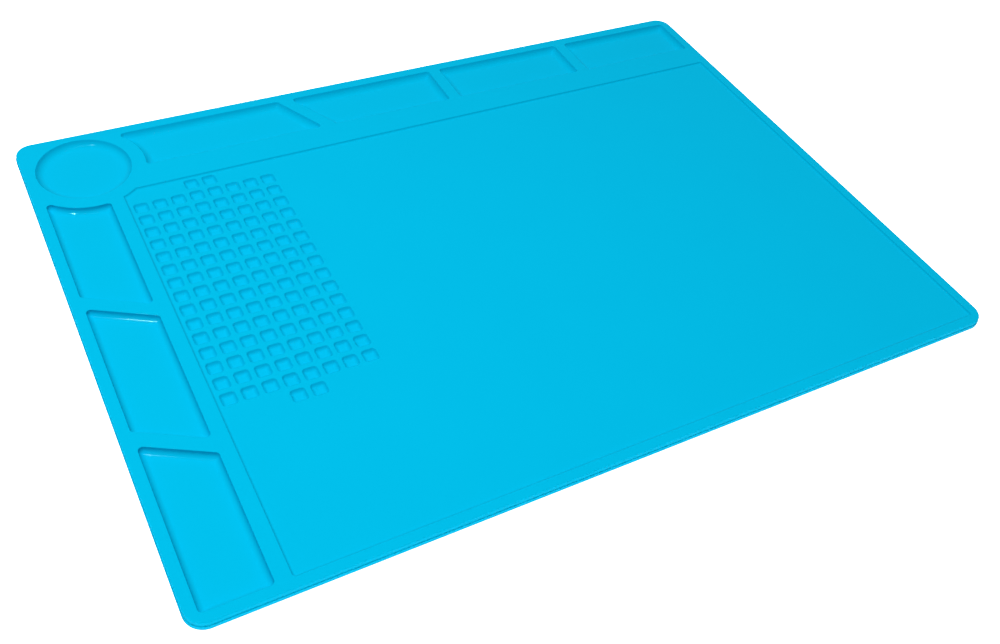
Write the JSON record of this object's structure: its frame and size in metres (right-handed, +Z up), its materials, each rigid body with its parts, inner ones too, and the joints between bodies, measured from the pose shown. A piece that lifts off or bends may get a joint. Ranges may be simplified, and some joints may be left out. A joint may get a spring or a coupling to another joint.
{
  "type": "silicone repair mat",
  "caption": "Flat rectangular silicone work mat with rounded corners, a recessed work area, a field of small square pockets, a round dish and long shallow parts trays along two sides.",
  "frame": {"origin": "centre of the underside", "axes": "+X along the long side, +Y towards the side with the row of four trays, +Z up out of the work face"},
  "size_m": [0.35, 0.25, 0.004],
  "materials": {
    "silicone": "satin"
  },
  "bodies": {
    "root": {"silicone_mat": "silicone"}
  },
  "joints": []
}
